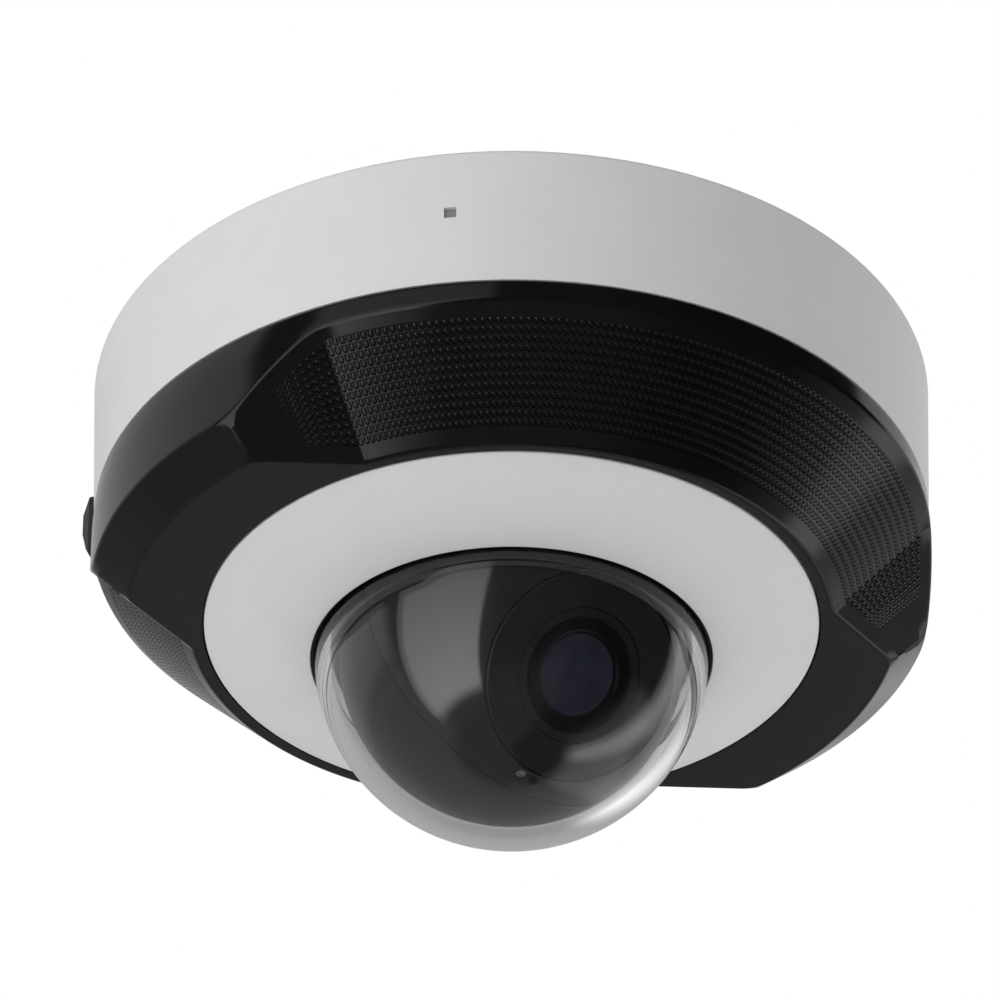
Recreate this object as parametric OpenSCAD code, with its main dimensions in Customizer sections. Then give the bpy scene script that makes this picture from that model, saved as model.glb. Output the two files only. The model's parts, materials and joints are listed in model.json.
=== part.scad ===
// Ceiling-mounted mini dome camera.
// The origin is the centre of the ceiling face. +Z points up into the ceiling; the camera hangs below it.
// -Y is the front, the middle of one textured panel. The two plain shoulders are centred on +X and -X.

/* [Base] */
// Outer radius of the base at the ceiling
base_r = 55; // [54.9:0.1:55.5]
// Outer radius of the base at its lower edge
base_low_r = 54.4; // [54:0.1:54.6]
// Height of the base
base_h = 20.1; // [19.5:0.1:20.5]
// Thickness of the base's side wall
base_wall = 2.4; // [2:0.1:2.8]
// Radius of the steel plate that is screwed to the ceiling
plate_r = 43; // [42:0.5:44]
// Thickness of that plate
plate_t = 1.5; // [1.2:0.1:2]
// Pitch circle diameter of the ceiling screw holes
ceiling_pcd = 66; // [60:1:68]
// Radius of each ceiling screw hole
ceiling_hole_r = 2.25; // [2:0.05:2.6]
// Radius of the bore that grips the network cable
cable_r = 2.9; // [2.5:0.1:3.2]

/* [Cover] */
// Largest outer radius of the black bezel
bezel_r = 54.6; // [54.5:0.1:55]
// Height of the flat bottom of the bezel, below the ceiling
bezel_z = 36; // [35.5:0.1:36.5]
// Radius where the flat bottom meets a shoulder's chamfer
shoulder_r = 49.9; // [49:0.1:50.5]
// Height of the upper edge of that chamfer, below the ceiling
shoulder_z = 32.1; // [31.5:0.1:32.5]
// Radius where the flat bottom meets a textured panel
panel_low_r = 41.5; // [41.3:0.1:42]
// Height of the upper edge of a textured panel, below the ceiling
panel_z = 23.3; // [23:0.1:24]
// Half of the angle that a textured panel's cone spans
panel_half = 55; // [54:0.5:56]
// Turn of a panel's flat end facet away from the panel's own width
facet_turn = 26; // [25:0.5:27]
// Outer radius of the white face ring
ring_r = 39.7; // [39:0.1:39.8]
// Inner radius of the white face ring
ring_in_r = 25.9; // [25.85:0.05:26.1]
// Height of the face ring's inner edge, below the ceiling
ring_low_z = 40.8; // [40.5:0.1:41]

/* [Dome] */
// Outer radius of the clear dome
dome_r = 25.44; // [25.4:0.02:25.48]
// Thickness of the clear dome
dome_t = 2.04; // [1.8:0.02:2.1]
// Height of the dome's centre, below the ceiling
dome_z = 39.61; // [39.5:0.01:39.7]

/* [Eyeball] */
// Outer radius of the ball that turns behind the dome
ball_r = 22.3; // [22:0.1:22.4]
// Thickness of the ball's shells
ball_t = 1.5; // [1.2:0.1:1.7]
// Radius of the round lens face
face_r = 13; // [12.8:0.1:13.2]
// Angle of the lens axis below the horizon at rest
lens_down = 37.5; // [36:0.5:41]
// Turn of the camera module to the object's left at rest
pan_rest = 7; // [0:1:12]

/* [Hidden] */

$fn = 96;
e = 0.01;

// Material colours
WHITE = [0.87, 0.87, 0.86];
BLACK = [0.09, 0.09, 0.09];
DARK = [0.14, 0.14, 0.14];
STEEL = [0.72, 0.73, 0.74];
BOARD = [0.05, 0.2, 0.12];
GREEN = [0.1, 0.35, 0.2];
CREAM = [0.93, 0.92, 0.88];
SMOKE = [0.35, 0.35, 0.37];
LENS = [0.2, 0.2, 0.3];
CLEAR = [0.8, 0.85, 0.9, 0.25];

// Base
floor_low_z = plate_t + 2.5;
inner_r = base_low_r - base_wall;
spigot_r = 52;
spigot_in_r = 49.8;
spigot_top_z = 17;
spigot_z = 22.3;
seal_z = 21.2;
seal_r = 0.45;
seal_groove = 0.82;
seal_groove_w = 1.1;
gasket_out_r = 52.5;
gasket_in_r = 47;
gasket_t = 1.2;
cable_x = -18;
cable_y = 18;
plug_turn = -134;
plug_z = 14;
plug_w = 16;
plug_head = 1.7;
plug_stem_w = 12.4;
plug_stem_h = 6;
plug_gap = 0.3;
window_turn = -37;
window_z = 9.5;
window_w = 1.55;
screw_hole_r = 1.25;
screw_clear_r = 1.6;
plate_screw_r = 39.5;
plate_boss_z = floor_low_z + 1;

// Boards and the frame that carries them
board_z = 9;
board_t = 1.6;
board_r = 43;
board_low_z = board_z + board_t;
chassis_z = 24.5;
chassis_t = 2.5;
chassis_r = 46.8;
chassis_screw_r = 42.5;
pan_r = 22.6;
pan_in_r = 19.4;
pan_flange_r = 25;
pan_clear = 0.05;
flange_top_z = 22.4;
seat_z = 22.3;
retainer_top_z = 20.9;
retainer_r = 29.5;
retainer_in_r = 23.2;
retainer_screw_r = 27.4;
board_screw_r = 36;
board_screw_turn = 22;
jack_x = -10;
jack_y = 37.7;
jack_l = 21;
jack_w = 16;
jack_h = 13.4;
button_turn = 60;
button_out = 38;

// Cover
cone_k = (bezel_r - panel_low_r) / (bezel_z - panel_z);
facet_tilt = atan(cone_k * cos(panel_half - facet_turn));
skirt_in_r = 52.35;
cover_gap = 0.2;
plate_top_z = 33;
ring_seat_z = 34.6;
ring_gap = 0.25;
bezel_hole_r = 26.4;
dome_in_r = dome_r - dome_t;
dome_flange_r = 31;
sleeve_r = 25.85;
gasket_top_z = 32.3;
flange_z = 30.7;
clamp_top_z = 29.5;
clamp_screw_r = 34.2;
cover_screws = 6;
latch_screw_r = 45.8;
latch_space = 28;

// Eyeball
ball_in_r = ball_r - ball_t;
face_d = sqrt(ball_r * ball_r - 13.1 * 13.1);
open_from = 48;
open_to = 163;
frame_r = 15.3;
frame_in_r = 13.6;
frame_front_d = 13;
frame_back_d = -4;
arm_in_x = 15.6;
arm_out_x = 17.6;
arm_w = 7;
pin_r = 2;
parting_tilt = 7;
mark_off = 39;
mark_turn = 6;
mark_side = 2.45;
mark_r = 0.66;
peg_in_d = 15.4;
flange_d = 6;
clip_d = 7.7;
sensor_d = 0.5;
holder_r = 8.4;
barrel_r = 6.9;
glass_r = 5.2;

// ---------- placing ----------

// Puts children at an angle around the vertical axis, counted from the front towards +X
module around(turn) {
    rotate([0, 0, turn]) children();
}

// Puts children on a circle, evenly spaced, with the first at an angle from the front
module ring_of(count, radius, first = 0) {
    for (i = [0 : count - 1]) {
        around(first + i * 360 / count) translate([0, -radius, 0]) children();
    }
}

// An upright cylinder between two depths below the ceiling
module post(r, z_top, z_low) {
    translate([0, 0, -z_low]) cylinder(r = r, h = z_low - z_top);
}

// An upright tube between two depths below the ceiling
module tube(r, r_in, z_top, z_low) {
    difference() {
        post(r, z_top, z_low);
        post(r_in, z_top - e, z_low + e);
    }
}

// A block centred on x and y between two depths below the ceiling
module block(w, d, z_top, z_low) {
    translate([-w / 2, -d / 2, -z_low]) cube([w, d, z_low - z_top]);
}

// The frame of the panned module: its X is the tilt axis, with its origin at the ball's centre
module in_pan_frame() {
    translate([0, 0, -dome_z]) around(pan_rest) children();
}

// The frame of the lens: its Z is the lens axis, pointing out of the camera
module in_lens_frame() {
    in_pan_frame() rotate([90 + lens_down, 0, 0]) children();
}

// A screw that points up, with the outside of its head at z = 0 and a hexagonal socket in the head
module screw_up(r, head_r, head_t, length) {
    difference() {
        union() {
            cylinder(r = head_r, h = head_t);
            cylinder(r = r, h = length);
        }
        translate([0, 0, -e]) cylinder(r = head_r * 0.5, h = head_t * 0.6, $fn = 6);
    }
}

// The same screw pointing down, with the outside of its head at z = 0
module screw_down(r, head_r, head_t, length) {
    mirror([0, 0, 1]) screw_up(r, head_r, head_t, length);
}

// ---------- fixed to the ceiling ----------

module mounting_plate() {
    color(STEEL) difference() {
        post(plate_r, 0, plate_t);
        ring_of(4, ceiling_pcd / 2) post(ceiling_hole_r, -e, plate_t + e);
        ring_of(3, plate_screw_r, 30) post(screw_clear_r, -e, plate_t + e);
        translate([cable_x, cable_y, 0]) post(11, -e, plate_t + e);
    }
}

module ceiling_gasket() {
    color(DARK) tube(gasket_out_r, gasket_in_r, 0, gasket_t);
}

// Screws up through the base's floor into the plate
module plate_screws() {
    head = 1.4;
    color(STEEL) ring_of(3, plate_screw_r, 30) translate([0, 0, -plate_boss_z - head])
        screw_up(1.5, 2.7, head, plate_boss_z + head - 0.3);
}

// ---------- base ----------

// Half profile of the base's shell, with a small round on the ceiling edge
module base_profile() {
    edge_r = 0.8;
    difference() {
        polygon([[0, 0], [base_r - edge_r, 0],
            for (a = [75 : -15 : 15]) [base_r - edge_r + edge_r * cos(a), -edge_r + edge_r * sin(a)],
            [base_r - 0.02, -edge_r], [base_low_r, -base_h], [spigot_r, -base_h], [spigot_r, -spigot_z],
            [spigot_in_r, -spigot_z], [spigot_in_r, -spigot_top_z],
            [inner_r, -spigot_top_z + (inner_r - spigot_in_r)],
            [inner_r, -floor_low_z], [0, -floor_low_z]]);
        translate([-1, -plate_t]) square([plate_r + 1.1, plate_t + 1]);
        translate([gasket_in_r - 0.05, -gasket_t]) square([gasket_out_r - gasket_in_r + 0.1, gasket_t + 1]);
        translate([spigot_r - seal_groove, -seal_z - seal_groove_w / 2]) square([2, seal_groove_w]);
    }
}

module base_housing() {
    color(WHITE) difference() {
        union() {
            rotate_extrude($fn = 180) base_profile();
            ring_of(3, chassis_screw_r) post(3.2, floor_low_z - e, chassis_z);
            ring_of(4, board_screw_r, board_screw_turn) post(2.6, floor_low_z - e, board_z);
            ring_of(3, plate_screw_r, 30) post(3.4, plate_t, plate_boss_z);
        }
        ring_of(4, ceiling_pcd / 2) post(5, 0, floor_low_z + e);
        ring_of(3, plate_screw_r, 30) post(screw_clear_r, 0, plate_boss_z + e);
        ring_of(3, chassis_screw_r) post(screw_hole_r, chassis_z - 8, chassis_z + e);
        ring_of(4, board_screw_r, board_screw_turn) post(screw_hole_r, plate_t + 1, board_z + e);
        translate([cable_x, cable_y, 0]) post(8, 0, floor_low_z + e);
        side_entry_hole();
        around(window_turn) translate([-window_w / 2, -base_r - 1, -window_z - window_w / 2])
            cube([window_w, base_wall + 4, window_w]);
    }
}

// The side outlet for a cable that runs along the ceiling
module side_entry_hole() {
    w = plug_stem_w + 2 * plug_gap;
    h = plug_stem_h + 2 * plug_gap;
    around(plug_turn) translate([-w / 2, -base_r - 1, -plug_z - h / 2]) cube([w, 8, h]);
}

module cable_grommet() {
    groove = 0.05;
    color(DARK) translate([cable_x, cable_y, 0]) difference() {
        union() {
            post(7.95, plate_t + 0.1, floor_low_z + 1);
            post(9.6, floor_low_z + groove, floor_low_z + 2);
            translate([0, 0, -floor_low_z - 6]) cylinder(r1 = 4.6, r2 = 6.4, h = 4 + e);
        }
        post(cable_r, 0, floor_low_z + 7);
    }
}

// Rubber plug of the side outlet: a head with sloping edges that lies on the curved wall, and a hollow stem
module side_plug() {
    side = plug_w / 2;
    edge = 1.2;
    top_z = 10.2;
    low_z = 19;
    wall = 1.6;
    out = base_r + plug_head;
    back = base_r - 2;
    color(BLACK) around(plug_turn) difference() {
        intersection() {
            rotate([90, 0, 90]) linear_extrude(plug_w, center = true)
                polygon([[-back, -top_z], [-out + edge, -top_z], [-out, -top_z - 2], [-out, -low_z + 3.8],
                    [-out + 0.8, -low_z + 0.8], [-out + 1.2, -low_z], [-back, -low_z]]);
            translate([0, 0, -25]) linear_extrude(20)
                polygon([[-side, -back], [-side, -out + edge], [-side + edge, -out], [side - edge, -out],
                    [side, -out + edge], [side, -back]]);
        }
        post(base_r + 0.05, 0, 30);
    }
    color(BLACK) around(plug_turn) translate([0, -base_r - 0.6, -plug_z]) difference() {
        translate([0, 2.8, 0]) cube([plug_stem_w, 5.6, plug_stem_h], center = true);
        translate([0, 6.6, 0]) cube([plug_stem_w - 2 * wall, 10, plug_stem_h - 2 * wall], center = true);
    }
}

// Light pipe from the light on the board to the outside of the wall
module status_window() {
    w = window_w - 0.1;
    color(SMOKE) around(window_turn) translate([-w / 2, -base_r + 0.75, -window_z - w / 2]) cube([w, 9, w]);
}

module status_led() {
    color(WHITE) around(window_turn) translate([0, -41.6, 0]) block(1.6, 2.4, board_z - 1, board_z);
}

// ---------- electronics ----------

module main_board() {
    color(BOARD) difference() {
        post(board_r, board_z, board_low_z);
        translate([cable_x, cable_y, 0]) post(10.2, 0, 20);
        ring_of(4, board_screw_r, board_screw_turn) post(1.5, 0, 20);
        ring_of(3, chassis_screw_r) post(4.2, 0, 20);
    }
}

module board_screws() {
    head = 1.2;
    color(STEEL) ring_of(4, board_screw_r, board_screw_turn) translate([0, 0, -board_low_z - head])
        screw_up(screw_hole_r - 0.05, 2.3, head, 6);
}

// Socket for the network cable, open towards -X and the cable's bore
module network_jack() {
    color(STEEL) difference() {
        translate([jack_x + jack_l / 2, jack_y, 0])
            block(jack_l, jack_w, board_low_z, board_low_z + jack_h);
        translate([jack_x + 6.4, jack_y, 0]) block(13, 11.8, board_low_z + 3, board_low_z + jack_h - 1.6);
        translate([jack_x + 6.4, jack_y, 0]) block(13, 6, board_low_z + 1.4, board_low_z + 4);
    }
}

module power_terminal() {
    color(GREEN) translate([26, 28, 0]) rotate([0, 0, -45]) difference() {
        block(10.2, 7.6, board_low_z, board_low_z + 8.5);
        for (x = [-2.54, 2.54]) {
            translate([x, 0, 0]) post(1.3, board_low_z + 6, board_low_z + 9);
            translate([x, 3.4, 0]) block(3, 4, board_low_z + 2, board_low_z + 5);
        }
    }
}

module card_slot() {
    color(STEEL) around(-90) translate([0, -34, 0]) difference() {
        block(14.5, 15, board_low_z, board_low_z + 1.9);
        translate([0, -2.5, 0]) block(11.4, 12, board_low_z + 0.5, board_low_z + 1.4);
    }
}

module reset_button() {
    color(BLACK) around(button_turn) translate([0, -button_out, 0]) {
        post(1.5, board_low_z + 2, board_low_z + 3.4);
        post(1.9, board_low_z + 1.7, board_low_z + 2.1);
    }
}

module reset_switch() {
    color(STEEL) around(button_turn) translate([0, -button_out, 0]) difference() {
        block(6, 6, board_low_z, board_low_z + 2.6);
        post(1.55, board_low_z + 2, board_low_z + 3);
        post(2, board_low_z + 1.1, board_low_z + 2.15);
    }
}

module processor() {
    color(DARK) translate([0, -29, 0]) block(14, 14, board_low_z, board_low_z + 1.4);
}

// Finned aluminium block on the processor
module heat_sink() {
    fins = 7;
    pitch = 2.6;
    color(STEEL) translate([0, -29, 0]) {
        block(18, 18, board_low_z + 1.4, board_low_z + 3.2);
        for (i = [0 : fins - 1]) {
            translate([(i - (fins - 1) / 2) * pitch, 0, 0]) block(1, 18, board_low_z + 3, board_low_z + 8);
        }
    }
}

// Socket for the flat cable from the image sensor
module board_connector() {
    color(CREAM) translate([-23, -21, 0]) rotate([0, 0, -45]) difference() {
        block(16, 5, board_low_z, board_low_z + 2.4);
        translate([0, 1.6, 0]) block(13.4, 3, board_low_z + 1, board_low_z + 1.8);
    }
}

// Small bag of drying agent, crowned in the middle
module drying_bag() {
    color(CREAM) around(88) translate([0, -33, 0]) hull() {
        block(20, 12, board_low_z + 3, board_low_z + 3.4);
        block(12, 6, board_low_z + 0.6, board_low_z + 6);
    }
}

// ---------- frame that carries the eyeball ----------

module chassis() {
    color(BLACK) difference() {
        union() {
            post(chassis_r, chassis_z, chassis_z + chassis_t);
            post(retainer_r, seat_z, chassis_z + e);
        }
        post(pan_r + pan_clear, chassis_z - 3, chassis_z + chassis_t + e);
        post(pan_flange_r + pan_clear, chassis_z - 3, chassis_z);
        ring_of(3, chassis_screw_r) post(screw_clear_r, chassis_z - 1, chassis_z + chassis_t + e);
        ring_of(3, retainer_screw_r) post(1, chassis_z - 3, chassis_z + 2);
    }
}

module chassis_screws() {
    head = 1.6;
    color(STEEL) ring_of(3, chassis_screw_r) translate([0, 0, -chassis_z - chassis_t - head])
        screw_up(screw_hole_r - 0.05, 2.8, head, 9);
}

// Ring that keeps the turning ring down in the chassis
module pan_retainer() {
    color(DARK) difference() {
        tube(retainer_r, retainer_in_r, retainer_top_z, seat_z);
        ring_of(3, retainer_screw_r) post(1.1, 0, 30);
    }
}

module retainer_screws() {
    head = 1;
    color(STEEL) ring_of(3, retainer_screw_r) translate([0, 0, -retainer_top_z + head])
        screw_down(0.9, 1.7, head, 5);
}

module pan_ring() {
    color(BLACK) difference() {
        union() {
            post(pan_r, flange_top_z, chassis_z + chassis_t + 0.8);
            post(pan_flange_r, flange_top_z, chassis_z - pan_clear);
        }
        post(pan_in_r, 20, 30);
        in_pan_frame() for (side = [-1, 1]) {
            translate([side * 20.4, 0, dome_z]) post(1.1, 20, 30);
        }
    }
}

// Two arms that hang from the turning ring and hold the tilt pins inside the ball
module yoke_arms() {
    foot_z = dome_z - chassis_z - chassis_t - 0.8;
    color(STEEL) in_pan_frame() for (side = [-1, 1]) {
        scale([side, 1, 1]) difference() {
            union() {
                translate([arm_in_x, -arm_w / 2, 0]) cube([arm_out_x - arm_in_x, arm_w, foot_z]);
                translate([arm_in_x, 0, 0]) rotate([0, 90, 0])
                    cylinder(r = arm_w / 2, h = arm_out_x - arm_in_x);
                translate([arm_in_x, -arm_w / 2, foot_z - 1.6]) cube([6.4, arm_w, 1.6]);
            }
            translate([arm_in_x - 1, 0, 0]) rotate([0, 90, 0]) cylinder(r = pin_r, h = 4);
            translate([20.4, 0, foot_z - 2]) cylinder(r = 1.1, h = 3);
        }
    }
}

module tilt_pins() {
    color(STEEL) in_pan_frame() for (side = [-1, 1]) {
        scale([side, 1, 1]) translate([frame_in_r + 0.2, 0, 0]) rotate([0, 90, 0])
            cylinder(r = pin_r, h = arm_out_x + 0.4 - frame_in_r - 0.2);
    }
}

// ---------- eyeball ----------

// Cup inside the ball that tilts on the pins and lets the lens turn in it
module module_frame() {
    color(DARK) in_lens_frame() difference() {
        translate([0, 0, frame_back_d]) cylinder(r = frame_r, h = frame_front_d - frame_back_d);
        translate([0, 0, frame_back_d + 1.2]) cylinder(r = 12.4, h = 30);
        translate([0, 0, frame_back_d + 1.2]) cylinder(r = frame_in_r, h = 8);
        translate([0, 0, flange_d - 0.05]) cylinder(r = frame_in_r, h = 30);
        translate([0, 0, frame_back_d - 1]) cylinder(r = 8, h = 3);
        rotate([0, 90, 0]) cylinder(r = pin_r + pan_clear, h = 40, center = true);
    }
}

// All space on the front (side = -1) or the back (side = 1) of the plane where the ball's halves part
module half_space(side) {
    gap = 0.08;
    in_pan_frame() rotate([-parting_tilt, 0, 0]) translate([-30, side < 0 ? -60 - gap : gap, -30]) cube(60);
}

// One half of the ball's shell, with the sector left open that the arms reach in through
module ball_half(side) {
    difference() {
        intersection() {
            in_pan_frame() difference() {
                sphere(r = ball_r, $fn = 128);
                sphere(r = ball_in_r, $fn = 128);
            }
            half_space(side);
        }
        in_pan_frame() rotate([90, 0, 90]) linear_extrude(60, center = true) polygon([[0, 0],
            for (a = [open_from, 86, 124, open_to]) [-40 * cos(a), 40 * sin(a)]]);
    }
}

// The front half has a collar inside that grips the frame
module ball_front_shell() {
    color(BLACK) {
        difference() {
            ball_half(-1);
            in_lens_frame() cylinder(r = face_r + 0.2, h = 30);
            for (side = [-1, 1]) in_mark_frame(side) cylinder(r = mark_r, h = 6, center = true, $fn = 32);
        }
        intersection() {
            in_lens_frame() difference() {
                translate([0, 0, 8]) cylinder(r = 17, h = 7);
                translate([0, 0, 7]) cylinder(r = frame_r + 0.05, h = 9);
            }
            in_pan_frame() sphere(r = ball_in_r + 0.3, $fn = 128);
            half_space(-1);
        }
    }
}

// The back half has two pegs that reach the frame
module ball_back_shell() {
    color(BLACK) {
        ball_half(1);
        in_pan_frame() for (side = [-1, 1]) {
            translate([side * 6, 0, 0]) rotate([230, 0, 0]) translate([0, 0, peg_in_d])
                cylinder(r = 1.4, h = sqrt(ball_in_r * ball_in_r - 49) - peg_in_d + 0.4);
        }
    }
}

// The frame of a small round mark on the front shell below the lens face: its Z points out of the ball
module in_mark_frame(side) {
    in_lens_frame() rotate([0, 0, -mark_turn]) rotate([mark_off, 0, 0]) rotate([0, side * mark_side, 0])
        translate([0, 0, ball_r]) children();
}

// Grub screw that stops the lens from turning, in the hole on one side below the lens face
module roll_lock_screw() {
    color(STEEL) in_mark_frame(-1) difference() {
        translate([0, 0, -0.7]) cylinder(r = mark_r - 0.04, h = 0.55, $fn = 32);
        translate([0, 0, -0.45]) cylinder(r = 0.3, h = 1, $fn = 6);
    }
}

// Ring that keeps the lens holder in the frame
module roll_clip() {
    color(STEEL) in_lens_frame() difference() {
        translate([0, 0, clip_d]) cylinder(r = frame_in_r - 0.02, h = 1);
        translate([0, 0, clip_d - 1]) cylinder(r = 12.2, h = 3);
    }
}

// Round face around the lens, on a hollow hub that stands on the holder's flange
module lens_face() {
    edge = 0.25;
    color(BLACK) in_lens_frame() difference() {
        union() {
            translate([0, 0, face_d - 1.7]) cylinder(r = face_r, h = 1.7 - edge);
            translate([0, 0, face_d - edge - e]) cylinder(r1 = face_r, r2 = face_r - edge, h = edge + e);
            translate([0, 0, flange_d + 1.6]) cylinder(r = 10, h = face_d - flange_d - 2);
        }
        cylinder(r = holder_r + 0.15, h = 30);
    }
}

module lens_holder() {
    color(DARK) in_lens_frame() difference() {
        union() {
            translate([0, 0, flange_d]) cylinder(r = frame_in_r - 0.1, h = 1.6);
            translate([0, 0, sensor_d + 1]) cylinder(r = holder_r, h = face_d - sensor_d - 1.15);
            translate([-8.4, -8.4, sensor_d + 1]) cube([16.8, 16.8, 2]);
        }
        translate([0, 0, sensor_d + 3]) cylinder(r = barrel_r + 0.05, h = 30);
        translate([0, 0, sensor_d + 0.5]) cylinder(r = 5.6, h = 6);
        translate([0, 0, face_d - 0.9]) cylinder(r = holder_r - 1.05, h = 3);
    }
}

module lens_barrel() {
    color(DARK) in_lens_frame() difference() {
        translate([0, 0, sensor_d + 4]) cylinder(r = barrel_r, h = face_d - sensor_d - 4.3);
        translate([0, 0, sensor_d + 3]) cylinder(r = 4, h = 30);
        translate([0, 0, face_d - 2.6]) cylinder(r = glass_r + 0.02, h = 5);
        translate([0, 0, face_d - 0.6]) cylinder(r1 = glass_r + 0.2, r2 = glass_r + 0.7, h = 0.4);
    }
}

// Outer element of the lens: a disc with a domed front
module front_lens() {
    dome_front_r = 32;
    color(LENS) in_lens_frame() intersection() {
        translate([0, 0, face_d - 2.6]) cylinder(r = glass_r, h = 3);
        translate([0, 0, face_d - 0.35 - dome_front_r]) sphere(r = dome_front_r, $fn = 128);
    }
}

module sensor_board() {
    color(BOARD) in_lens_frame() translate([-8.4, -8.4, sensor_d]) cube([16.8, 16.8, 1]);
}

module image_sensor() {
    color(STEEL) in_lens_frame() translate([-4.2, -3.5, sensor_d + 1]) cube([8.4, 7, 0.9]);
}

// ---------- cover ----------

// Space in front of a textured panel: outside its cone, and outside the flat facet at each end
module panel_cut() {
    low_r = panel_low_r - cone_k;
    out_r = bezel_r + 5;
    reach = 130;
    for (side = [0, 1]) mirror([side, 0, 0]) intersection() {
        rotate([0, 0, -90]) rotate_extrude(angle = 90, $fn = 180)
            polygon([[low_r, -bezel_z - 1], [out_r, -bezel_z - 1], [out_r, -panel_z + 5 / cone_k]]);
        around(panel_half) translate([0, -panel_low_r, -bezel_z]) around(facet_turn - panel_half)
            rotate([facet_tilt, 0, 0]) translate([-reach / 2, -reach, -reach / 2]) cube(reach);
    }
}

module bezel() {
    color(BLACK) difference() {
        rotate_extrude($fn = 180)
            polygon([[skirt_in_r, -base_h - cover_gap], [base_low_r, -base_h - cover_gap],
                [bezel_r, -panel_z], [bezel_r, -shoulder_z], [shoulder_r, -bezel_z],
                [ring_r + ring_gap, -bezel_z], [ring_r + ring_gap, -ring_seat_z],
                [bezel_hole_r, -ring_seat_z], [bezel_hole_r, -plate_top_z],
                [panel_low_r - 0.1, -plate_top_z], [skirt_in_r, -panel_z + 0.9]]);
        panel_cut();
        rotate([0, 0, 180]) panel_cut();
        for (side = [0, 180]) rotate([0, 0, side - latch_space / 2]) rotate_extrude(angle = latch_space)
            polygon([[skirt_in_r, -panel_z + 1], [skirt_in_r, -shoulder_z + 0.9],
                [shoulder_r + 0.3, -plate_top_z], [panel_low_r - 1, -plate_top_z],
                [panel_low_r - 1, -plate_top_z + 1]]);
        ring_of(cover_screws, clamp_screw_r) post(0.9, plate_top_z - 1, ring_seat_z - 0.5);
        for (side = [-90, 90]) around(side) translate([0, -latch_screw_r, 0])
            post(0.9, 30, plate_top_z + 2);
    }
    color(BLACK) ring_of(cover_screws, clamp_screw_r) tube(2.8, 0.9, flange_z, plate_top_z + 0.4);
}

// White ring around the dome: a shallow cone with a slight bulge
module face_ring() {
    bulge = 0.35;
    steps = 8;
    top = ring_seat_z + 0.05;
    run = ring_r - ring_in_r;
    drop = ring_low_z - bezel_z;
    color(WHITE) rotate_extrude($fn = 180) polygon([[ring_r, -top],
        for (i = [0 : steps]) let (t = i / steps)
            [ring_r - run * t, -bezel_z - drop * t - 4 * bulge * t * (1 - t)],
        [ring_in_r, -ring_low_z + 1.5], [ring_r - 1.2, -top]]);
}

// Clear bubble: a hemisphere with a short straight collar and a flange
module dome_bubble() {
    color(CLEAR) rotate_extrude($fn = 180) intersection() {
        difference() {
            union() {
                translate([0, -dome_z]) circle(r = dome_r);
                translate([0, -dome_z]) square([dome_r, dome_z - flange_z]);
                translate([0, -gasket_top_z]) square([dome_flange_r, gasket_top_z - flange_z]);
            }
            translate([0, -dome_z]) circle(r = dome_in_r);
            translate([0, -dome_z]) square([dome_in_r, 20]);
        }
        translate([0, -70]) square([40, 70 - flange_z]);
    }
}

// Seal between the dome and the bezel, with a sleeve that shows as a thin dark ring around the dome
module dome_gasket() {
    in_r = dome_r + 0.06;
    out_r = dome_flange_r - 0.5;
    low_z = ring_low_z - 0.4;
    color(DARK) rotate_extrude($fn = 180)
        polygon([[in_r, -low_z], [sleeve_r, -low_z], [sleeve_r, -plate_top_z], [out_r, -plate_top_z],
            [out_r, -gasket_top_z], [in_r, -gasket_top_z]]);
}

module dome_clamp() {
    color(DARK) difference() {
        tube(37, bezel_hole_r, clamp_top_z, flange_z);
        ring_of(cover_screws, clamp_screw_r) post(1.1, 20, 40);
    }
}

module clamp_screws() {
    head = 1;
    color(STEEL) ring_of(cover_screws, clamp_screw_r) translate([0, 0, -clamp_top_z + head])
        screw_down(0.85, 1.8, head, 5.2);
}

// Spring arms at the shoulders that hold the cover inside the base's collar
module cover_latches() {
    width = 12;
    t = 1.2;
    foot_r = latch_screw_r - 2.6;
    arm_r = spigot_in_r - 0.9;
    hook_r = spigot_in_r - 0.3;
    top_z = spigot_top_z - 0.8;
    color(DARK) for (side = [-90, 90]) around(side) difference() {
        intersection() {
            rotate_extrude() polygon([[foot_r, -plate_top_z], [arm_r, -plate_top_z],
                [arm_r, -spigot_top_z - 2.4], [hook_r, -spigot_top_z - 1.2], [hook_r, -spigot_top_z],
                [arm_r, -top_z], [arm_r - t, -top_z], [arm_r - t, -plate_top_z + t],
                [foot_r, -plate_top_z + t]]);
            translate([0, -45, 0]) block(width, 20, 10, 40);
        }
        translate([0, -latch_screw_r, 0]) post(1.1, 30, 40);
    }
}

module latch_screws() {
    head = 1;
    color(STEEL) for (side = [-90, 90]) around(side)
        translate([0, -latch_screw_r, -plate_top_z + 1.2 + head]) screw_down(0.85, 1.8, head, 3.8);
}

// Round seal in the base's groove, against the cover's skirt
module cover_seal() {
    color(DARK) rotate_extrude($fn = 180) translate([spigot_r - seal_groove + seal_r + 0.02, -seal_z])
        circle(r = seal_r, $fn = 32);
}

mounting_plate();
ceiling_gasket();
plate_screws();
base_housing();
cable_grommet();
side_plug();
status_window();
status_led();
main_board();
board_screws();
network_jack();
power_terminal();
card_slot();
reset_switch();
reset_button();
processor();
heat_sink();
board_connector();
chassis();
chassis_screws();
pan_retainer();
retainer_screws();
pan_ring();
yoke_arms();
tilt_pins();
module_frame();
ball_front_shell();
ball_back_shell();
roll_clip();
roll_lock_screw();
lens_face();
lens_holder();
lens_barrel();
front_lens();
sensor_board();
image_sensor();
bezel();
face_ring();
dome_bubble();
dome_gasket();
dome_clamp();
clamp_screws();
cover_latches();
latch_screws();
cover_seal();
drying_bag();
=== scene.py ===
"""A mini dome camera on a ceiling, seen from below: its looks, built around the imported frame."""
import json
import math

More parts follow.
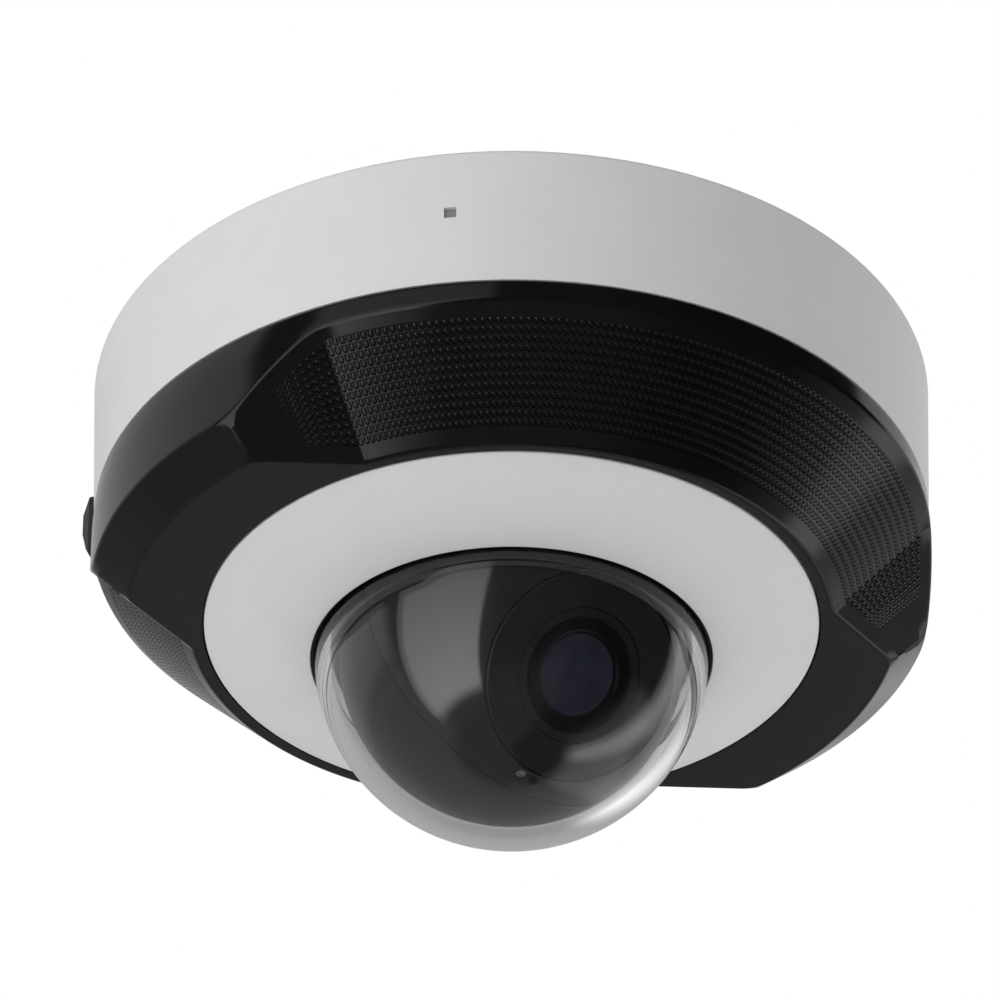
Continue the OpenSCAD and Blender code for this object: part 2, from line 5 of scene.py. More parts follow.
import bpy
import numpy as np
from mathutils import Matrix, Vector


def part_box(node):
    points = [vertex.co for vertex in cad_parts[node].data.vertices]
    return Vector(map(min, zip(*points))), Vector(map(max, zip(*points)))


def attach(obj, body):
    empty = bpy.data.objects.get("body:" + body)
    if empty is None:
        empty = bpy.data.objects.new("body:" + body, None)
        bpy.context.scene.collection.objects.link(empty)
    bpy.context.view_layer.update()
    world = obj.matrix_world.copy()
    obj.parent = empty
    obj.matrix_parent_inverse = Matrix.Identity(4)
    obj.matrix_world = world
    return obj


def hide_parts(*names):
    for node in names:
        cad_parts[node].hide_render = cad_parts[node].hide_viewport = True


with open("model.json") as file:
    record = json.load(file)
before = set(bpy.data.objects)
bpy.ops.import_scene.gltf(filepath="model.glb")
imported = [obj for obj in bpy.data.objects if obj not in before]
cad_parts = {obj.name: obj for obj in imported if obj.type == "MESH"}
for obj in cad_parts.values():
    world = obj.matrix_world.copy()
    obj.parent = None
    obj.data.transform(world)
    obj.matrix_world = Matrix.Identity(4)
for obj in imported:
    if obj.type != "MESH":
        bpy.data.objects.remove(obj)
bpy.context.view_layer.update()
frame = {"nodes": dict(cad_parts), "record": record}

MM = 0.001
LOOK_TURN = -29.0                                # degrees from the object's front to the camera, around Z
LOOK_UP = 35.83                                  # degrees that the camera looks up
LOOK_DISTANCE = 0.92028                          # metres from the origin to the camera
LOOK_TARGET = (0.00228, 0.0072, -0.0102)         # the place in the middle of its view, in metres


# ---------- sizes, in millimetres ----------

def corner(node, which):
    """Lowest (0) or highest (1) corner of a CAD node, in millimetres."""
    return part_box(node)[which] / MM


# the black bezel, outside
BEZEL_R = 54.6                                   # largest radius
BEZEL_TOP_R = 54.4                               # radius at the seam to the base
SEAM_Z = corner("bezel", 1).z                    # the seam to the base
BEZEL_Z = corner("bezel", 0).z                   # the flat bottom
CREASE_Z = -23.3                                 # upper edge of a textured panel
PANEL_LOW_R = 41.5                               # radius of a panel's lower edge
PANEL_HALF = 55.0                                # half the angle that a panel's cone spans
FACET_TURN = 26.0                                # direction that a panel's flat end facet faces
FACET_TOP = 15.29                                # length of a facet's upper edge
FACET_LOW = 14.12                                # length of its lower edge
SHOULDER_TURN = 69.25                            # angle where the facets meet the shoulders
SHOULDER_Z = -32.1                               # upper edge of a shoulder's chamfer
SHOULDER_LOW_R = 49.9                            # radius of its lower edge
CREASE_SOFT = 0.36                               # setback of the rounding along both edges of the slope
SLOPE = (BEZEL_R - PANEL_LOW_R) / (CREASE_Z - BEZEL_Z)
NORMAL_TURN = PANEL_HALF - FACET_TURN            # angle between a facet and the end of its cone

# the bezel, inside
SEAT_Z = -34.6                                   # seat for the white ring
SEAT_GAP = 0.25                                  # gap around the white ring
HOLE_R = 26.4                                    # hole for the dome
PLATE_TOP_Z = -33.0                              # inner side of the flat bottom
SKIRT_R = 52.35                                  # inner radius of the skirt
SKIRT_LOW_Z = -22.4                              # where the skirt's inner wall begins
LATCH_HALF = 14.0                                # half the angle of a latch's recess
CLAMP_SCREW_R = 34.2                             # circle of the six screws that hold the dome
# (r, z) of the sloping inner wall, the same in a latch's recess, and of the outline of a screw boss
INSIDE = ((41.4, PLATE_TOP_Z), (45.0, -29.5), (48.7, -25.9))
LATCH_INSIDE = ((40.5, PLATE_TOP_Z), (50.2, PLATE_TOP_Z), (SKIRT_R, -31.2))
BOSS = ((0.9, -30.7), (2.8, -30.7), (2.8, -33.3), (0.9, -33.3))

# the dimples
CELLS_CONE = 106                                 # dimple columns over a panel's cone
CELLS_FACET = 8                                  # dimple columns that run out over each end facet
FACET_PITCH = 1.1                                # spacing of those columns
ROWS = 12                                        # dimple rows
TOP_MARGIN = 2.53                                # from the upper edge to the middle of the first row
LOW_MARGIN = 2.75                                # from the middle of the last row to the lower edge
SUB = 4                                          # grid steps along each side of a dimple's cell
DIMPLE_DEPTH = 0.125
# A dimple is a thin groove around a flat pillow, open towards the ceiling: for its rim, its groove and its
# pillow, the half width as a share of the cell and the depth as a share of the whole.
DIMPLE_RINGS = ((0.45, 0.0), (0.375, 1.0), (0.29, 0.12))

# the white ring
RING_R = corner("face_ring", 1).x
RING_TOP_Z = corner("face_ring", 1).z
RING_LOW_Z = corner("face_ring", 0).z
RING_IN_R = 25.9
RING_BULGE = 0.35                                # how far its cone swells

# the clear dome
DOME_R = 25.44
DOME_T = 2.04                                    # wall
DOME_Z = corner("dome_bubble", 0).z + DOME_R     # the dome's centre
FLANGE_R = corner("dome_bubble", 1).x
FLANGE_TOP_Z = corner("dome_bubble", 1).z
FLANGE_LOW_Z = -32.3


# ---------- mesh helpers ----------

def make_piece(name, points, faces, materials, body, sharp=32.0, face_material=None):
    """A smooth shaded object that rides on a body, from points in millimetres."""
    mesh = bpy.data.meshes.new(name)
    mesh.from_pydata((np.asarray(points, float) * MM).tolist(), [], faces)
    for material in materials:
        mesh.materials.append(material)
    if face_material is not None:
        mesh.polygons.foreach_set("material_index", np.asarray(face_material, np.int32))
    mesh.validate()
    mesh.shade_smooth()
    mesh.set_sharp_from_angle(angle=math.radians(sharp))
    piece = bpy.data.objects.new(name, mesh)
    bpy.context.scene.collection.objects.link(piece)
    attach(piece, body)
    return piece


def polar(r, turn, z):
    """A point at a radius and an angle in degrees from the front towards +X."""
    a = np.radians(turn)
    return np.stack(np.broadcast_arrays(r * np.sin(a), -r * np.cos(a), z), -1)


def bezier(a, corner_point, b, t):
    """Point on the curve that rounds a corner between a and b."""
    return a * (1 - t) ** 2 + corner_point * 2 * t * (1 - t) + b * t ** 2


def rounded(outline, setbacks, steps=5):
    """A closed outline of (r, z) corners, each rounded by its setback, or sharp where that is 0."""
    points = []
    for i, setback in enumerate(setbacks):
        here = np.array(outline[i], float)
        if setback <= 0:
            points.append(here)
            continue
        back = np.array(outline[i - 1], float) - here
        ahead = np.array(outline[(i + 1) % len(outline)], float) - here
        start = here + back / np.linalg.norm(back) * setback
        end = here + ahead / np.linalg.norm(ahead) * setback
        points += [bezier(start, here, end, k / steps) for k in range(steps + 1)]
    return np.array(points)


def only_used(points, faces):
    """The points that the faces use, and the faces renumbered to them."""
    used = np.unique(np.concatenate([np.ravel(face) for face in faces]))
    renumber = np.full(len(points), -1)
    renumber[used] = np.arange(len(used))
    return points[used], [renumber[np.asarray(face)].tolist() for face in faces]


def lathe(outline, steps):
    """Points and faces of a closed (r, z) outline turned around Z. A point at r = 0 becomes a pole."""
    turns = np.arange(steps) * 360.0 / steps
    rows, points, faces = [], [], []
    for r, z in outline:
        start = len(points)
        if r < 1e-6:
            points.append((0.0, 0.0, z))
            rows.append([start] * steps)
        else:
            points += polar(r, turns, z).tolist()
            rows.append(list(range(start, start + steps)))
    for i, row in enumerate(rows):
        following = rows[(i + 1) % len(rows)]
        for j in range(steps):
            k = (j + 1) % steps
            loop = [row[j], row[k], following[k], following[j]]
            loop = [v for n, v in enumerate(loop) if v != loop[n - 1]]   # a triangle at a pole
            if len(loop) > 2:
                faces.append(loop)
    return points, faces


# ---------- materials ----------

class Surface:
    """A Principled material whose colour, roughness and bump come from noise in the object's own space."""

    def __init__(self, name, colour, roughness, metallic=0.0):
        self.material = bpy.data.materials.new(name)
        self.material.use_nodes = True
        self.tree = self.material.node_tree
        self.shader = self.tree.nodes["Principled BSDF"]
        self.shader.inputs["Metallic"].default_value = metallic
        self.colour = colour
        self.roughness = roughness
        self.place = self.node("ShaderNodeTexCoord").outputs["Object"]
        self.height = None

    def node(self, kind, **settings):
        """A new node of the material's tree."""
        made = self.tree.nodes.new(kind)
        for key, value in settings.items():
            setattr(made, key, value)
        return made

    def link(self, source, target):
        self.tree.links.new(source, target)

    def put(self, **values):
        """Sets plain values on the shader's own sockets; _ stands for a space in a socket's name."""
        for key, value in values.items():
            self.shader.inputs[key.replace("_", " ")].default_value = value

    def noise(self, size_mm, detail=2.0, stretch=(1, 1, 1)):
        """Noise from 0 to 1 with features of about that size, squeezed along each axis by stretch."""
        source = self.place
        if stretch != (1, 1, 1):
            mapping = self.node("ShaderNodeMapping")
            mapping.inputs["Scale"].default_value = stretch
            self.link(source, mapping.inputs["Vector"])
            source = mapping.outputs["Vector"]
        texture = self.node("ShaderNodeTexNoise")
        texture.inputs["Scale"].default_value = 1 / (size_mm * MM)
        texture.inputs["Detail"].default_value = detail
        self.link(source, texture.inputs["Vector"])
        return texture.outputs["Fac"]

    def remap(self, value, low, high):
        """Spreads the middle of a noise, where most of it lies, over low to high."""
        made = self.node("ShaderNodeMapRange")
        made.inputs["From Min"].default_value = 0.3
        made.inputs["From Max"].default_value = 0.7
        made.inputs["To Min"].default_value = low
        made.inputs["To Max"].default_value = high
        self.link(value, made.inputs["Value"])
        return made.outputs["Result"]

    def vary(self, size_mm, colour_share=0.06, roughness_share=0.12, detail=3.0):
        """Lets the colour and the roughness wander by a share of themselves."""
        value = self.noise(size_mm, detail)
        mix = self.node("ShaderNodeMix", data_type="RGBA")
        self.link(self.remap(value, 0, 1), mix.inputs["Factor"])
        for socket, sign in ((mix.inputs[6], -1), (mix.inputs[7], 1)):
            socket.default_value = [c * (1 + sign * colour_share) for c in self.colour] + [1]
        self.link(mix.outputs[2], self.shader.inputs["Base Color"])
        swing = self.roughness * roughness_share
        rough = self.remap(value, self.roughness - swing, self.roughness + swing)
        self.link(rough, self.shader.inputs["Roughness"])
        return self

    def bump(self, height, depth_mm):
        """Adds relief of that depth on top of what is there."""
        made = self.node("ShaderNodeBump")
        made.inputs["Strength"].default_value = 1.0
        made.inputs["Distance"].default_value = depth_mm * MM
        self.link(height, made.inputs["Height"])
        if self.height is not None:
            self.link(self.height, made.inputs["Normal"])
        self.height = made.outputs["Normal"]
        self.link(self.height, self.shader.inputs["Normal"])
        return self

    def grain(self, size_mm, depth_mm, detail=2.0, stretch=(1, 1, 1)):
        """Adds noise relief."""
        return self.bump(self.noise(size_mm, detail, stretch=stretch), depth_mm)


def shell_white():
    """Matt white plastic with a fine spark-eroded grain."""
    made = Surface("shell_white", (0.80, 0.80, 0.795), 0.52)
    made.vary(9.0, 0.012, 0.08)
    cells = made.node("ShaderNodeTexVoronoi", feature="SMOOTH_F1")
    cells.inputs["Scale"].default_value = 1 / (0.55 * MM)
    cells.inputs["Smoothness"].default_value = 0.8
    made.link(made.place, cells.inputs["Vector"])
    made.bump(cells.outputs["Distance"], 0.02)
    made.grain(0.9, 0.028, 3.0)
    made.put(IOR=1.5)
    return made.material


def bezel_gloss():
    """Black plastic, polished by the mould, with faint waviness."""
    made = Surface("bezel_gloss", (0.0045, 0.0045, 0.0048), 0.12)
    made.vary(6.0, 0.12, 0.12)
    made.put(IOR=1.5)
    return made.material


def bezel_matt():
    """The same plastic with an even matt grain."""
    made = Surface("bezel_matt", (0.0165, 0.0165, 0.017), 0.65)
    made.vary(4.0, 0.05, 0.08)
    made.grain(0.35, 0.02, 3.0)
    made.put(IOR=1.45)
    return made.material


def plastic(name, colour, roughness, grain_mm=0.4, depth_mm=0.012):
    """Moulded plastic or rubber with a fine grain."""
    made = Surface(name, colour, roughness)
    made.vary(5.0, 0.08, 0.12)
    made.grain(grain_mm, depth_mm, 3.0)
    return made.material


def metal(name, colour, roughness, stretch=(1, 1, 1), grain_mm=0.5):
    """Bare or coated metal; a stretch along one axis gives it a brushed look."""
    made = Surface(name, colour, roughness, metallic=1.0)
    made.vary(3.0, 0.08, 0.25)
    made.grain(grain_mm, 0.006, 4.0, stretch)
    return made.material


def clear_dome():
    """Clear polycarbonate that lets lamps shine through to what is behind it."""
    made = Surface("dome_clear", (0.93, 0.935, 0.94), 0.012)
    made.vary(12.0, 0.01, 0.3)
    made.put(Transmission_Weight=1.0, IOR=1.585)
    path = made.node("ShaderNodeLightPath")
    through = made.node("ShaderNodeBsdfTransparent")
    through.inputs["Color"].default_value = (0.95, 0.952, 0.955, 1)
    mix = made.node("ShaderNodeMixShader")
    made.link(path.outputs["Is Shadow Ray"], mix.inputs[0])
    made.link(made.shader.outputs[0], mix.inputs[1])
    made.link(through.outputs[0], mix.inputs[2])
    made.link(mix.outputs[0], made.tree.nodes["Material Output"].inputs["Surface"])
    return made.material


def coated_glass():
    """The outer lens element: deep, dark glass with a blue-violet coating."""
    made = Surface("glass_coated", (0.028, 0.03, 0.046), 0.05)
    made.vary(2.5, 0.25, 0.3)
    made.put(IOR=1.62, Specular_Tint=(0.62, 0.6, 1.0, 1.0), Coat_Weight=0.4, Coat_Roughness=0.03)
    return made.material


def circuit_board():
    """Green solder mask with fine traces."""
    made = Surface("board_green", (0.012, 0.085, 0.04), 0.35)
    made.vary(1.4, 0.35, 0.2, 1.0)
    bricks = made.node("ShaderNodeTexBrick")
    bricks.inputs["Scale"].default_value = 1 / (9 * MM)
    bricks.inputs["Mortar Size"].default_value = 0.02
    made.link(made.place, bricks.inputs["Vector"])
    made.bump(bricks.outputs["Fac"], 0.03)
    return made.material


BLACK = (0.012, 0.012, 0.0125)
MATERIALS = {
    "white_shell": shell_white(),
    "black_bezel": bezel_gloss(),
    "black_plastic": plastic("plastic_black", BLACK, 0.4),
    "lens_metal": metal("metal_black", (0.03, 0.03, 0.034), 0.38),
    "steel": metal("steel_zinc", (0.55, 0.56, 0.58), 0.3, (1, 1, 1), 0.8),
    "aluminium": metal("aluminium_bare", (0.75, 0.76, 0.78), 0.35, (8, 1, 1), 0.6),
    "rubber": plastic("rubber_black", (0.014, 0.014, 0.014), 0.75, 0.25, 0.02),
    "circuit_board": circuit_board(),
    "terminal_green": plastic("terminal_green", (0.03, 0.2, 0.08), 0.42),
    "chip_black": plastic("chip_black", (0.02, 0.02, 0.02), 0.6, 0.2, 0.01),
    "connector_cream": plastic("connector_cream", (0.72, 0.68, 0.55), 0.5),
    "smoked_window": plastic("window_smoked", (0.23, 0.23, 0.235), 0.3, 1.0, 0.005),
    "clear_dome": clear_dome(),
    "lens_glass": coated_glass(),
}
BEZEL_MATT = bezel_matt()


def dress_frame():
    """Gives every CAD node the material of its slot in the record."""
    for part in frame["record"]["subparts"]:
        node = frame["nodes"][part["node"]]
        for place in node.material_slots:
            place.material = MATERIALS[part["material_slot"]]


# ---------- bezel ----------

def facet_point(cone_r, along, z):
    """Point of a facet at height z, where the cone's radius is cone_r, at a distance from the cone's end."""
    across = cone_r * math.cos(math.radians(NORMAL_TURN))
    side = cone_r * math.sin(math.radians(NORMAL_TURN)) + along
    return polar(np.hypot(across, side), FACET_TURN + np.degrees(np.arctan2(side, across)), z)


def upper_edge(t):
    """The slope's upper edge. t is up to 1 on half a cone, to 2 on its facet, to 3 on half a shoulder."""
    if t <= 1:
        return polar(BEZEL_R, PANEL_HALF * t, CREASE_Z)
    if t >= 2:
        return polar(BEZEL_R, SHOULDER_TURN + (90 - SHOULDER_TURN) * (t - 2), SHOULDER_Z)
    along = (t - 1) * FACET_TOP
    a = math.radians(NORMAL_TURN)
    # the facet meets the upright band where its own radius is the band's
    cone_r = math.sqrt(BEZEL_R ** 2 - (along * math.cos(a)) ** 2) - along * math.sin(a)
    return facet_point(cone_r, along, CREASE_Z - (BEZEL_R - cone_r) / SLOPE)


def lower_edge(t):
    """The slope's lower edge, with the same t."""
    if t <= 1:
        return polar(PANEL_LOW_R, PANEL_HALF * t, BEZEL_Z)
    if t >= 2:
        return polar(SHOULDER_LOW_R, SHOULDER_TURN + (90 - SHOULDER_TURN) * (t - 2), BEZEL_Z)
    return facet_point(PANEL_LOW_R, (t - 1) * FACET_LOW, BEZEL_Z)


def soft_edge(edge, setbacks, radius=None):
    """The edge as a function of t, with its corners at t = 1 and t = 2 rounded by setbacks in millimetres.
    The rounded stretches are pushed out to the radius where one is given."""
    speeds = [np.linalg.norm(edge(t + 0.01) - edge(t)) * 100 for t in (0.98, 1.0, 1.98, 2.0)]

    def rounded_edge(t):
        for k, setback in zip((1, 2), setbacks):
            before = setback / speeds[2 * k - 2]
            after = setback / speeds[2 * k - 1]
            if k - before < t < k + after:
                share = (t - k + before) / (2 * before) if t < k else 0.5 + (t - k) / (2 * after)
                point = bezier(edge(k - before), edge(k), edge(k + after), share)
                if radius is not None:
                    point[:2] *= radius / np.linalg.norm(point[:2])
                return point
        return edge(t)

    return rounded_edge


def bezel_columns():
    """The number of grid columns in a quarter of the bezel, and for each column all the way around, the
    slope's upper and lower end, and both again with rounded corners."""
    cone = np.arange(CELLS_CONE / 2 * SUB) / (CELLS_CONE / 2 * SUB)
    field_end = 1 + CELLS_FACET * FACET_PITCH / FACET_TOP
    field = np.linspace(1, field_end, CELLS_FACET * SUB, endpoint=False)
    facet = np.linspace(field_end, 2, 18, endpoint=False)
    shoulder = np.linspace(2, 3, 30)
    quarter = np.concatenate([cone, field, facet, shoulder])
    # the corners where the cone meets the facet, and the facet the shoulder
    upper = soft_edge(upper_edge, (2.6, 3.4), BEZEL_R)
    lower = soft_edge(lower_edge, (0.9, 2.0))
    ends = []
    for edge in (upper_edge, lower_edge, upper, lower):
        right = np.array([edge(t) for t in quarter])
        left = right[:0:-1] * (-1, 1, 1)
        front = np.concatenate([left, right])
        back = front[1:-1] * (-1, -1, 1)
        ends.append(np.concatenate([front, back]))
    return len(quarter), ends


def toward(a, b, distance):
    """Points at a distance from a on the way to b."""
    way = b - a
    return a + way / np.linalg.norm(way, axis=1, keepdims=True) * distance


def fillet(before, edge_points, after, setback, steps=5):
    """Rows of points that round an edge, with a close row on each side that keeps the flat faces flat."""
    close = setback + 0.12
    start = toward(edge_points, before, setback)
    end = toward(edge_points, after, setback)
    middle = [bezier(start, edge_points, end, k / steps) for k in range(steps + 1)]
    return [toward(edge_points, before, close)] + middle + [toward(edge_points, after, close)]


def band_radius(z):
    """Radius of the upright band above the creases, which widens a little from the seam down."""
    return BEZEL_TOP_R + (BEZEL_R - BEZEL_TOP_R) * np.clip((SEAM_Z - z) / (SEAM_Z - CREASE_Z), 0, 1)


def bezel_grid():
    """The bezel's whole surface as closed rows of points, the number of columns in a quarter of it, and the
    first and last row of the dimples and of the flat bottom."""
    quarter, (true_upper, true_lower, upper, lower) = bezel_columns()
    turn_up = np.degrees(np.arctan2(upper[:, 0], -upper[:, 1]))
    turn_low = np.degrees(np.arctan2(lower[:, 0], -lower[:, 1]))
    length = np.linalg.norm(true_lower - true_upper, axis=1, keepdims=True)
    # a shoulder has no dimples: its rows only divide the chamfer
    pitch = np.maximum((length - TOP_MARGIN - LOW_MARGIN) / (ROWS - 1), length * 0.02)
    top = np.minimum(TOP_MARGIN - pitch / 2, length * 0.2)
    low = np.minimum(LOW_MARGIN - pitch / 2, length * 0.2)
    down = (true_lower - true_upper) / length
    field_length = length - top - low
    field = [true_upper + down * (top + field_length * k / (ROWS * SUB)) for k in range(ROWS * SUB + 1)]
    rows = []

    def ring(r, z, turn=turn_low):
        rows.append(polar(r, turn, z))

    # the skirt's end at the seam, with a small rounding
    ring(SKIRT_R, SEAM_Z, turn_up)
    for inward, drop in ((0.16, 0), (0.05, 0.04), (0, 0.14)):
        ring(BEZEL_TOP_R - inward, SEAM_Z - drop, turn_up)
    # the upright band
    band_top = SEAM_Z - 0.26
    band_low = upper[:, 2] + CREASE_SOFT + 0.2
    for share in (0, 0.12, 0.3, 0.5, 0.75):
        z = band_top * (1 - share) + band_low * share
        ring(band_radius(z), z, turn_up)
    # the slope between its two rounded edges
    z = upper[:, 2] + 1
    rows += fillet(polar(band_radius(z), turn_up, z), upper, field[0], CREASE_SOFT)
    first_row = len(rows)
    rows += field
    last_row = len(rows) - 1
    axis_points = lower * (0, 0, 1)
    rows += fillet(field[-1], lower, axis_points, CREASE_SOFT)
    # the flat bottom, the rounded edge of the white ring's seat, and the seat
    flat_start = len(rows) - 1
    seat_r = RING_R + SEAT_GAP
    for outward, rise in ((0.15, 0), (0.03, 0.03), (0, 0.12)):
        ring(seat_r + outward, BEZEL_Z + rise)
    flat_end = len(rows) - 2
    ring(seat_r, SEAT_Z)
    ring(HOLE_R, SEAT_Z)
    ring(HOLE_R, PLATE_TOP_Z)
    # the inside, with a recess for each latch
    latch = np.abs(np.abs(turn_up) - 90) < LATCH_HALF
    for (r, z), (latch_r, latch_z), turn in zip(INSIDE, LATCH_INSIDE, (turn_low, turn_low, turn_up)):
        ring(np.where(latch, latch_r, r), np.where(latch, latch_z, z), turn)
    ring(SKIRT_R, SKIRT_LOW_Z, turn_up)
    return np.array(rows), quarter, (first_row, last_row), (flat_start, flat_end)


def dimple_ring(half, depth):
    """Points (across, down, depth) of one ring of a dimple, in the order of its cell's border."""
    ring = []
    for k in range(4 * SUB):
        a = math.radians(360 * k / (4 * SUB) - 135)
        # no depth at the top, and the full depth from a little above the middle down
        closed = min(1.0, max(0.0, (math.sin(a) + 0.95) / 0.75))
        ring.append((0.5 + half * math.cos(a), 0.5 + half * math.sin(a), depth * closed))
    return ring


def cell_border():
    """Grid steps (down, across) of the points on a cell's border: along the top, down, back and up."""
    steps = range(SUB)
    border = [(0, k) for k in steps] + [(k, SUB) for k in steps]
    return border + [(SUB, SUB - k) for k in steps] + [(SUB - k, 0) for k in steps]


def dimple_panel(name, grid, rows, columns):
    """The textured field of one panel: every cell of the grid holds one dimple."""
    field = grid[rows[0]:rows[1] + 1][:, np.arange(columns[0], columns[1] + 1) % grid.shape[1]]
    height, width = field.shape[:2]
    index = np.arange(height * width).reshape(height, width)
    cell_rows = np.arange(0, height - 1, SUB)
    cell_columns = np.arange(0, width - 1, SUB)

    def at(down, across):
        """Number of the grid point at that step of each cell."""
        return index[np.ix_(cell_rows + down, cell_columns + across)].ravel()

    grid_points = field.reshape(-1, 3)
    corners = [grid_points[at(down, across)] for down, across in ((0, 0), (0, SUB), (SUB, 0), (SUB, SUB))]
    normal = np.cross(corners[3] - corners[0], corners[1] - corners[2])
    normal /= np.linalg.norm(normal, axis=1, keepdims=True)
    normal *= np.sign(np.sum(normal * corners[0] * (1, 1, 0), axis=1, keepdims=True))
    # the dimples get shallower towards both ends of the panel
    from_end = np.minimum(np.arange(len(cell_columns)), np.arange(len(cell_columns))[::-1])
    fade = np.clip((from_end + 0.8) / CELLS_FACET, 0, 1) ** 0.8
    fade = np.tile(fade, len(cell_rows))[:, None]
    points = [grid_points]
    rings = [np.stack([at(down, across) for down, across in cell_border()], -1)]
    made = len(grid_points)
    for shape in [dimple_ring(half, depth) for half, depth in DIMPLE_RINGS] + [[(0.5, 0.5, 0.0)]]:
        placed = []
        for across, down, depth in shape:
            top = corners[0] * (1 - across) + corners[1] * across
            low = corners[2] * (1 - across) + corners[3] * across
            placed.append(top * (1 - down) + low * down - normal * depth * DIMPLE_DEPTH * fade)
        placed = np.stack(placed, 1)
        rings.append(made + np.arange(placed.shape[0] * placed.shape[1]).reshape(placed.shape[:2]))
        points.append(placed.reshape(-1, 3))
        made += placed.shape[0] * placed.shape[1]
    *closed_rings, centre = rings
    pillow = closed_rings[-1]
    faces = []
    for outer, inner in zip(closed_rings, closed_rings[1:]):
        for k in range(4 * SUB):
            n = (k + 1) % (4 * SUB)
            faces += np.stack([outer[:, k], outer[:, n], inner[:, n], inner[:, k]], -1).tolist()
    for k in range(4 * SUB):
        n = (k + 1) % (4 * SUB)
        faces += np.stack([pillow[:, k], pillow[:, n], centre[:, 0]], -1).tolist()
    points, faces = only_used(np.concatenate(points), faces)
    return make_piece(name, points, faces, [MATERIALS["black_bezel"]], "cover", sharp=35)


def bezel():
    """The black cover ring, with its dimpled panels."""
    grid, quarter, field_rows, flat_rows = bezel_grid()
    height, width = grid.shape[:2]
    half_field = (CELLS_CONE // 2 + CELLS_FACET) * SUB
    front = quarter - 1
    back = front + width // 2
    fields = [(middle - half_field, middle + half_field) for middle in (front, back)]
    index = np.arange(height * width).reshape(height, width)
    faces, kinds = [], []
    for i in range(height):
        k = (i + 1) % height
        for j in range(width):
            n = (j + 1) % width
            dimpled = any(a <= j < b or a <= j + width < b for a, b in fields)
            if dimpled and field_rows[0] <= i < field_rows[1]:
                continue
            faces.append([index[i, j], index[i, n], index[k, n], index[k, j]])
            kinds.append(1 if flat_rows[0] <= i <= flat_rows[1] else 0)
    points, faces = only_used(grid.reshape(-1, 3), faces)
    points = points.tolist()
    boss, boss_faces = lathe(BOSS, 32)
    for turn in range(0, 360, 60):
        faces += [[v + len(points) for v in face] for face in boss_faces]
        kinds += [0] * len(boss_faces)
        points += (np.array(boss) + polar(CLAMP_SCREW_R, turn, 0)).tolist()
    materials = [MATERIALS["black_bezel"], BEZEL_MATT]
    pieces = [make_piece("bezel_shell", points, faces, materials, "cover", face_material=kinds)]
    for name, columns in zip(("bezel_front_texture", "bezel_back_texture"), fields):
        pieces.append(dimple_panel(name, grid, field_rows, columns))
    for piece in pieces:
        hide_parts("bezel")


# ---------- white ring and dome ----------

def face_ring():
    """The white cone around the dome, slightly bulged, with softly rounded edges."""
    run = RING_R - RING_IN_R
    drop = RING_LOW_Z - BEZEL_Z
    steps = 14
    outline = [(RING_R - 1.2, RING_TOP_Z), (RING_R, RING_TOP_Z)]
    for t in np.linspace(0, 1, steps + 1):
        outline.append((RING_R - run * t, BEZEL_Z + drop * t - 4 * RING_BULGE * t * (1 - t)))
    outline.append((RING_IN_R, RING_LOW_Z + 1.5))
    setbacks = [0, 0.1, 0.22] + [0] * (steps - 1) + [0.16, 0.1]
    points, faces = lathe(rounded(outline, setbacks), 288)
    piece = make_piece("face_ring_fine", points, faces, [MATERIALS["white_shell"]], "cover", 40)
    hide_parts("face_ring")


def dome():
    """The clear bubble, with its straight collar and flange."""
    inner = DOME_R - DOME_T
    arc = np.radians(np.linspace(-90, 0, 49))
    outside = [(DOME_R * math.cos(a), DOME_Z + DOME_R * math.sin(a)) for a in arc]
    inside = [(inner * math.cos(a), DOME_Z + inner * math.sin(a)) for a in arc[::-1]]
    outside[0] = (0.0, DOME_Z - DOME_R)
    inside[-1] = (0.0, DOME_Z - inner)
    flange = [(DOME_R, FLANGE_LOW_Z), (FLANGE_R, FLANGE_LOW_Z)]
    flange += [(FLANGE_R, FLANGE_TOP_Z), (inner, FLANGE_TOP_Z)]
    points, faces = lathe(outside + flange + inside, 192)
    piece = make_piece("dome_bubble_fine", points, faces, [MATERIALS["clear_dome"]], "cover", 40)
    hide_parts("dome_bubble")


dress_frame()
bezel()
face_ring()
dome()


# ---------- camera, light and floor ----------

def place_around(turn, up, distance):
    """A place in metres, turned around the object from the camera's side and raised by an angle."""
    a, b = math.radians(LOOK_TURN + turn), math.radians(up)
    return Vector((math.sin(a) * math.cos(b), -math.cos(a) * math.cos(b), math.sin(b))) * distance


def camera():
    """The camera, at the angle from below that shows the whole object."""
    data = bpy.data.cameras.new("camera")
    data.sensor_width = 36
    data.lens = 250.8
    data.clip_start = 0.01
    data.clip_end = 50
    made = bpy.data.objects.new("camera", data)
    bpy.context.scene.collection.objects.link(made)
    made.location = place_around(0, -LOOK_UP, LOOK_DISTANCE)
    made.rotation_euler = (Vector(LOOK_TARGET) - made.location).to_track_quat("-Z", "Y").to_euler()
    bpy.context.scene.camera = made


def softbox(name, turn, up, distance, side, radiance):
    """A square soft light that faces the object and only lifts matt surfaces, without a reflection."""
    data = bpy.data.lights.new(name, "AREA")
    data.shape = "SQUARE"
    data.size = side
    data.energy = radiance * math.pi * side ** 2
    made = bpy.data.objects.new(name, data)
    bpy.context.scene.collection.objects.link(made)
    made.location = place_around(turn, up, distance)
    made.rotation_euler = (-made.location).to_track_quat("-Z", "Y").to_euler()
    made.visible_camera = False
    made.visible_glossy = False
    made.visible_transmission = False


